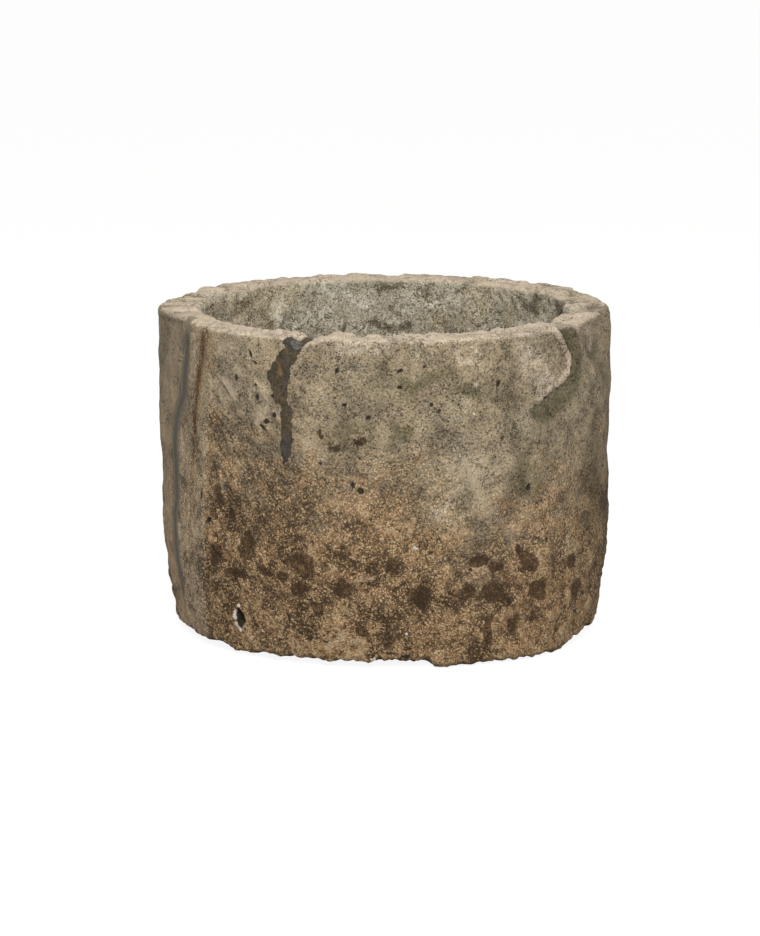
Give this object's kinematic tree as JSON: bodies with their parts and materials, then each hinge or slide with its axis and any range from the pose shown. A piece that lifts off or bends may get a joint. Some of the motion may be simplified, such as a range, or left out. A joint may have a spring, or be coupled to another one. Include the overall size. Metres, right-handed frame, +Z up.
{
  "type": "stone trough",
  "caption": "Round hand-cut limestone trough with an open basin, one flattened side, a worn rim, a broken base edge and mortar-filled cracks.",
  "frame": {"origin": "centre of the footprint, at the ground the trough stands on", "axes": "+Z up, out of the basin; +X to the right and -Y towards the viewer when the mended crack faces the viewer"},
  "size_m": [0.6865, 0.6527, 0.4899],
  "materials": {
    "limestone": "matt, weathered, hand-cut",
    "dark_mortar": "rough, stained",
    "pale_mortar": "rough",
    "grey_mortar": "smooth, floated"
  },
  "bodies": {
    "root": {"trough_body": "limestone", "front_crack_fill": "dark_mortar", "rim_crack_plug": "pale_mortar", "left_crack_fill": "grey_mortar"}
  },
  "joints": []
}
